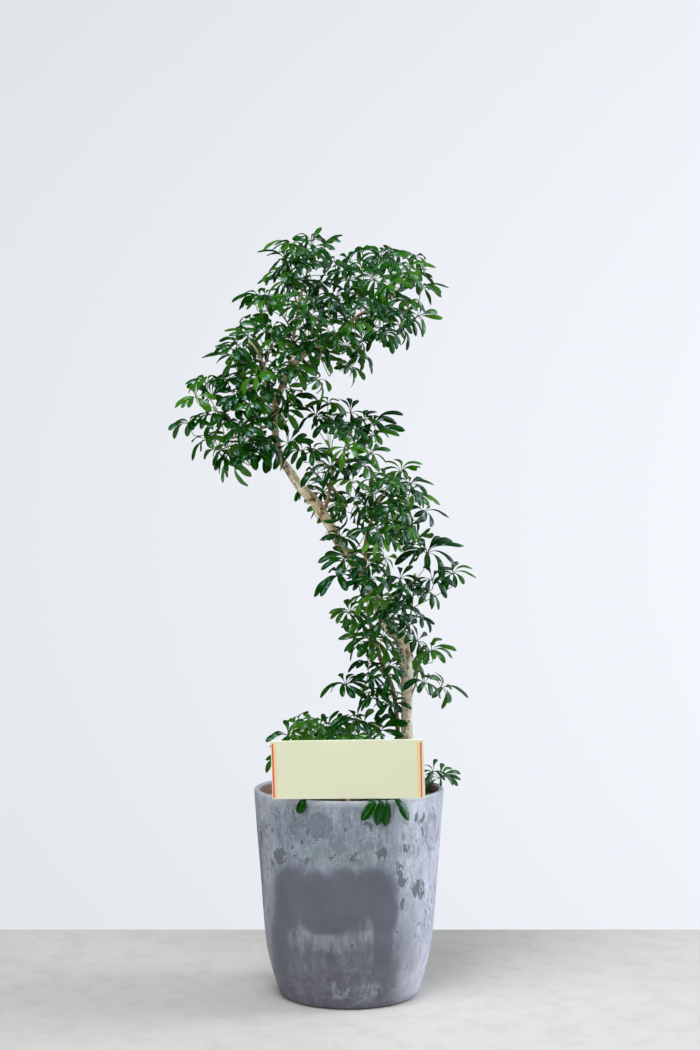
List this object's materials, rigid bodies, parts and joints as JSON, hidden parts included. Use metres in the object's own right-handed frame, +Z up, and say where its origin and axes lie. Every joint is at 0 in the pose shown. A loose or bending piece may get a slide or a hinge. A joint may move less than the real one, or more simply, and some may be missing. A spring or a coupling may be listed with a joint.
{
  "type": "potted schefflera",
  "caption": "Small schefflera tree with a curved bare trunk and glossy umbrella-like leaves, in a tall round stone-look planter, with a blank card on a stake.",
  "frame": {"origin": "centre of the planter's flat underside, on the surface that it stands on", "axes": "+Z up along the planter's axis; -Y is the front, where the card stands; +X is to the right as seen from the front"},
  "size_m": [0.6066, 0.4203, 1.5216],
  "materials": {
    "planter_stone": "mottled grey stone-look, matt, with pale vertical streaks and darker smooth patches",
    "drainage_stones": "rough rounded stones",
    "potting_soil": "dark brown, coarse, fibrous, with orange-brown bark nuggets",
    "bark": "pale tan bark with brown scars and lenticels",
    "leaf": "dark green, waxy and glossy above, paler green below",
    "card": "cream card, satin, with a red and a gold stripe near each end",
    "stake_wood": "plain pale wood"
  },
  "bodies": {
    "root": {"planter": "planter_stone", "drainage_stones": "drainage_stones", "potting_soil": "potting_soil", "trunk_and_branches": "bark", "rear_stem": "bark", "message_card": "card", "card_stake": "stake_wood", "spray_crown_peak": "leaf", "spray_crown_upper_left": "leaf", "spray_crown_shoulder": "leaf", "spray_crown_centre": "leaf", "spray_crown_top_right": "leaf", "spray_crown_far_right": "leaf", "spray_crown_right_edge": "leaf", "spray_crown_right_low": "leaf", "spray_crown_middle": "leaf", "spray_crown_under": "leaf", "spray_crown_front": "leaf", "spray_crown_inner": "leaf", "spray_crown_left_bright": "leaf", "spray_crown_left_outer": "leaf", "spray_left_upper_tip": "leaf", "spray_left_upper_inner": "leaf", "spray_left_tip": "leaf", "spray_left_hanging": "leaf", "spray_left_front": "leaf", "spray_trunk_right": "leaf", "spray_trunk_gap": "leaf", "spray_middle_left": "leaf", "spray_middle_top": "leaf", "spray_middle_right": "leaf", "spray_middle_front": "leaf", "spray_right_upper": "leaf", "spray_right_outer": "leaf", "spray_right_inner": "leaf", "spray_middle_lower": "leaf", "spray_behind_trunk": "leaf", "spray_centre_low": "leaf", "spray_centre_hanging": "leaf", "spray_young": "leaf", "spray_stub": "leaf", "spray_lower_front": "leaf", "spray_rear_left": "leaf", "spray_rear_low": "leaf", "spray_right_low": "leaf", "spray_low_left": "leaf", "spray_low_centre": "leaf", "spray_base_centre": "leaf", "spray_base_left": "leaf", "spray_base_far_left": "leaf", "spray_base_right": "leaf", "spray_back_crown": "leaf", "spray_back_right": "leaf", "spray_back_left": "leaf", "spray_back_low": "leaf", "spray_back_middle": "leaf", "spray_rim_middle": "leaf", "spray_rim_left": "leaf"}
  },
  "joints": []
}
